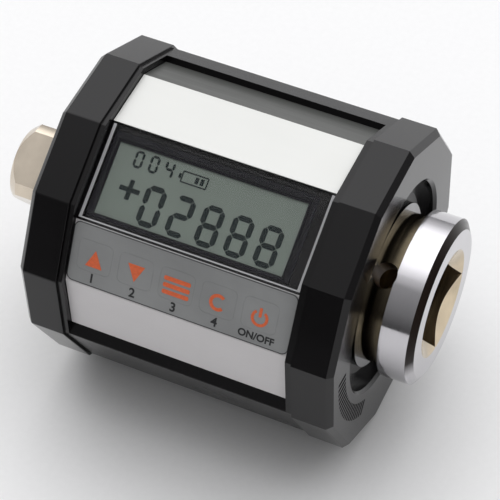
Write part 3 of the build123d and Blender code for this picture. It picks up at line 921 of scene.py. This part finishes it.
class TESTER_OT_dress_display(Operator):
    """Clear window with a painted highlight along its edge, dark mask, green-grey backing and the
    lit segments
    """

    bl_idname = "tester.dress_display"
    bl_label = "Dress Display"

    def execute(self, context):
        finishes = context.scene.tester_finishes
        marks = context.scene.tester_marks
        paint_node("display_window", clear_plastic("Window plastic"))
        NODES["display_window"].visible_shadow = False
        mask = moulded_plastic(
            "Display mask", finishes.mask_colour, 0.5, specular=0.15, grain=400.0, depth=2 * MICRON,
        )
        paint_node("display_mask", mask)
        paint_node("display_module", display_film("Display backing", finishes.backing_colour))
        self.paint_window_highlight(finishes)
        lit = printed_ink("Lit segment", finishes.segment_colour, specular=0.15)
        self.light_segments(marks, lit)
        return {"FINISHED"}

    @staticmethod
    def paint_window_highlight(finishes):
        """Painted highlight along the lower cut edge of the window and at its two ends."""
        face = facet_reach("display_window", DISPLAY)
        (left, bottom), (right, top) = flat_reach("display_window", DISPLAY, face)
        outline = [
            (left, bottom), (right, bottom), (right, top), (right - HIGHLIGHT_SIDE, top),
            (right - HIGHLIGHT_SIDE, bottom + HIGHLIGHT_LONG), (left + HIGHLIGHT_SIDE, bottom + HIGHLIGHT_LONG),
            (left + HIGHLIGHT_SIDE, top), (left, top),
        ]
        shape = bmesh.new()
        add_outline(shape, outline, 0, HIGHLIGHT_THICKNESS)
        bright = moulded_plastic("Painted window edge highlight", finishes.window_highlight_colour, 0.25)
        finish_piece("window_edge_highlight", shape, facet_frame(DISPLAY, face), HOUSING, bright)

    @staticmethod
    def light_segments(marks, lit):
        """Large and small digits, a plus sign and a battery on the display."""
        shape = bmesh.new()
        ink = marks.ink_thickness
        large = (marks.digit_height, marks.digit_width, marks.digit_bar, marks.slant, DIGIT_GAP)
        small = (COUNT_HEIGHT, COUNT_WIDTH, COUNT_BAR, marks.slant, COUNT_GAP)
        for digits, (x, y), step, sizes in (
            (marks.reading, DIGIT_START, DIGIT_STEP, large),
            (marks.count, COUNT_START, COUNT_STEP, small),
        ):
            for i, digit in enumerate(digits):
                for bar in bar_outlines(digit, (x + step * i, y), *sizes):
                    add_outline(shape, bar, 0, ink)
        bar = round_outline(PLUS_WIDTH, PLUS_BAR, SEGMENT_CORNER, PLUS_PLACE)
        upright = round_outline(PLUS_BAR, PLUS_HEIGHT, SEGMENT_CORNER, PLUS_PLACE)
        add_outline(shape, bar, 0, ink)
        add_outline(shape, upright, 0, ink * PLUS_THINNER)
        for outline in battery_outlines():
            add_outline(shape, outline, 0, ink)
        place = facet_frame(DISPLAY, facet_reach("display_module", DISPLAY))
        finish_piece("display_segments", shape, place, HOUSING, lit)


class TESTER_OT_dress_drive(Operator):
    """Plated drive shaft, dark bushes, and steel ring and screws"""

    bl_idname = "tester.dress_drive"
    bl_label = "Dress Drive"

    def execute(self, context):
        self.plate_shaft(context.scene.tester_finishes)
        bush = moulded_plastic("Bush plastic", BUSH_BLACK, 0.4)
        steel = turned_metal("Fastener steel", FASTENER_GREY, 0.35)
        for node in ("front_bush", "rear_bush"):
            paint_node(node, bush)
        for node in ("retaining_ring", "tie_screws"):
            paint_node(node, steel)
        return {"FINISHED"}

    @staticmethod
    def plate_shaft(finishes):
        """Bright collar with a painted reflection on its chamfer, yellowish socket and square, and
        groove, journal and cross hole darkened by painted shade.
        """
        paint_node("drive_shaft", turned_metal("Plated shaft", finishes.shaft_colour, 0.1))
        yellow = turned_metal("Yellow plating", finishes.yellow_colour, 0.16, WORN_LINES, stain=0.3)
        square = turned_metal("Warm plating", finishes.square_colour, 0.14, WORN_LINES, stain=0.16)
        # The groove between the cap and the collar is darkened by painted shade
        groove = turned_metal("Groove plating with painted shade", finishes.groove_shade_colour, 0.18, WORN_LINES, stain=0.3)
        # Painted shade on the wall of the cross hole
        dark = turned_metal("Painted hole shade", finishes.hole_shade_colour, 0.4, WORN_LINES, stain=0.2)
        # The front journal, inside the cap's bore behind the collar, is darkened by painted shade
        journal = turned_metal("Journal steel with painted shade", finishes.journal_shade_colour, 0.22)
        # Painted reflection on the chamfer: dark above the drive axis, the shaft's plating below
        painted_dark = tuple(c * CHAMFER_REFLECTION_DARK for c in finishes.hole_shade_colour)
        edge = painted_reflection_edge("Chamfer with painted reflection", painted_dark, finishes.shaft_colour)
        hole_place = facet_frame(DISPLAY, 0).inverted()

        def in_socket(middle, _direction):
            return middle.x > SHAFT_END - SOCKET_DEPTH and axis_distance(middle) < SOCKET_REACH

        def in_groove(middle, _direction):
            beside = GROOVE_START < middle.x - CAP_FACE < GROOVE_END
            return beside and axis_distance(middle) < GROOVE_REACH

        def on_journal(middle, _direction):
            return 0 < middle.x < CAP_FACE + JOURNAL_END

        def on_chamfer(middle, direction):
            leaning = CHAMFER_LEAN[0] < direction.x < CHAMFER_LEAN[1]
            at_end = middle.x > SHAFT_END - CHAMFER_LENGTH
            return leaning and at_end and axis_distance(middle) > SOCKET_REACH

        def on_square(middle, _direction):
            return middle.x < -CAP_FACE

        def in_cross_hole(middle, direction):
            spot = hole_place @ (middle + AXIS)
            sideways = abs(direction.dot(facet_normal(DISPLAY))) < HOLE_LEAN
            return sideways and math.hypot(spot.x - HOLE_SHIFT, spot.y) < HOLE_RADIUS

        # A later zone covers an earlier one where both hold a face
        for plating, belongs in (
            (groove, in_groove), (journal, on_journal), (square, on_square), (edge, on_chamfer),
            (yellow, in_socket), (dark, in_cross_hole),
        ):
            paint_faces("drive_shaft", plating, belongs)


class TESTER_OT_dress_inside(Operator):
    """Boards, chips, switches, strain gauges and the battery box inside the housing"""

    bl_idname = "tester.dress_inside"
    bl_label = "Dress Inside"

    def execute(self, context):
        board = circuit_board("Board lacquer", BOARD_GREEN)
        for node in ("display_board", "keypad_board", "main_board"):
            paint_node(node, board)
        chip = moulded_plastic("Chip resin", CHIP_BLACK, 0.5)
        for node in ("key_switches", "board_chips"):
            paint_node(node, chip)
        paint_node("strain_gauges", printed_ink("Gauge foil", GAUGE_BROWN))
        paint_node("battery_cells", turned_metal("Cell jacket", CELL_BLUE, 0.4))
        paint_node("battery_contacts", turned_metal("Contact brass", CONTACT_YELLOW, 0.3))
        paint_node("battery_holder", moulded_plastic("Holder plastic", HOLDER_BLACK, 0.5))
        return {"FINISHED"}


class TESTER_OT_set_stage(Operator):
    """Pale floor and backdrop, soft dome of light and the camera"""

    bl_idname = "tester.set_stage"
    bl_label = "Set Stage"

    def execute(self, context):
        stage = context.scene.tester_stage
        self.lay_floor(stage)
        self.raise_dome(context, stage)
        context.scene.view_settings.view_transform = "Standard"
        self.place_camera(context, stage)
        return {"FINISHED"}

    @staticmethod
    def lay_floor(stage):
        """Large pale floor of matt paper."""
        shape = bmesh.new()
        half = stage.floor_size / 2
        places = ((-half, -half), (half, -half), (half, half), (-half, half))
        shape.faces.new([shape.verts.new((x, y, 0)) for x, y in places])
        mesh = bpy.data.meshes.new("studio_floor")
        shape.to_mesh(mesh)
        shape.free()
        floor = bpy.data.objects.new("studio_floor", mesh)
        bpy.context.scene.collection.objects.link(floor)
        mesh.materials.append(floor_paper("Floor paper", stage.floor_colour))

    @staticmethod
    def raise_dome(context, stage):
        """Soft dome, brightest above and behind the tester, with a plain pale backdrop."""
        world = bpy.data.worlds.new("Studio dome")
        context.scene.world = world
        world.use_nodes = True
        tree = world.node_tree
        coords = tree.nodes.new("ShaderNodeTexCoord")
        height = tree.nodes.new("ShaderNodeVectorMath")
        height.operation = "DOT_PRODUCT"
        height.inputs[1].default_value = Vector(stage.dome_peak).normalized()
        tree.links.new(coords.outputs["Generated"], height.inputs[0])
        ramp = tree.nodes.new("ShaderNodeValToRGB")
        tree.links.new(spread(tree, height.outputs["Value"], 0, 1, -1, 1), ramp.inputs["Fac"])
        steps = ramp.color_ramp.elements
        while len(steps) < len(DOME_STEPS):
            steps.new(1)
        for step, (position, brightness) in zip(steps, DOME_STEPS):
            step.position = position
            step.color = (brightness, brightness, brightness * DOME_BLUE, 1)
        light = tree.nodes["Background"]
        tree.links.new(ramp.outputs["Color"], light.inputs["Color"])
        light.inputs["Strength"].default_value = stage.dome_strength
        backdrop = tree.nodes.new("ShaderNodeBackground")
        backdrop.inputs["Color"].default_value = (*stage.floor_colour, 1)
        seen = tree.nodes.new("ShaderNodeLightPath")
        choice = tree.nodes.new("ShaderNodeMixShader")
        tree.links.new(seen.outputs["Is Camera Ray"], choice.inputs["Fac"])
        tree.links.new(light.outputs["Background"], choice.inputs[1])
        tree.links.new(backdrop.outputs["Background"], choice.inputs[2])
        tree.links.new(choice.outputs["Shader"], tree.nodes["World Output"].inputs["Surface"])

    @staticmethod
    def place_camera(context, stage):
        """Camera at the angle of the photograph."""
        data = bpy.data.cameras.new("Tester camera")
        data.lens = stage.lens
        data.sensor_width = SENSOR_WIDTH
        data.clip_start = NEAR_CLIP
        camera = bpy.data.objects.new("Tester camera", data)
        context.scene.collection.objects.link(camera)
        level = math.cos(stage.elevation)
        sideways = math.sin(stage.azimuth) * level
        forwards = -math.cos(stage.azimuth) * level
        back = Vector((sideways, forwards, math.sin(stage.elevation)))
        camera.rotation_mode = "QUATERNION"
        turn = (-back).to_track_quat("-Z", "Y")
        camera.rotation_quaternion = turn @ Matrix.Rotation(stage.roll, 3, "Z").to_quaternion()
        camera.location = Vector(stage.aim) + back * stage.distance
        context.scene.camera = camera


class TESTER_PT_tools(Panel):
    """Buttons for each group of the tester's finishes"""

    bl_label = "Torque Tester"
    bl_idname = "TESTER_PT_tools"
    bl_space_type = "VIEW_3D"
    bl_region_type = "UI"
    bl_category = "Torque Tester"

    def draw(self, context):
        for step in STEPS:
            self.layout.operator(step.bl_idname)


STEPS = (
    TESTER_OT_dress_housing,
    TESTER_OT_dress_panel,
    TESTER_OT_mark_keys,
    TESTER_OT_dress_display,
    TESTER_OT_dress_drive,
    TESTER_OT_dress_inside,
    TESTER_OT_set_stage,
)
CLASSES = (TesterFinishes, TesterMarks, TesterStage, *STEPS, TESTER_PT_tools)


def register():
    for cls in CLASSES:
        bpy.utils.register_class(cls)
    bpy.types.Scene.tester_finishes = PointerProperty(type=TesterFinishes)
    bpy.types.Scene.tester_marks = PointerProperty(type=TesterMarks)
    bpy.types.Scene.tester_stage = PointerProperty(type=TesterStage)


def unregister():
    del bpy.types.Scene.tester_stage
    del bpy.types.Scene.tester_marks
    del bpy.types.Scene.tester_finishes
    for cls in reversed(CLASSES):
        bpy.utils.unregister_class(cls)


def main():
    """Dress the tester and set the stage."""
    register()
    bpy.ops.tester.dress_housing()
    bpy.ops.tester.dress_panel()
    bpy.ops.tester.mark_keys()
    bpy.ops.tester.dress_display()
    bpy.ops.tester.dress_drive()
    bpy.ops.tester.dress_inside()
    bpy.ops.tester.set_stage()


if __name__ == "__main__":
    main()
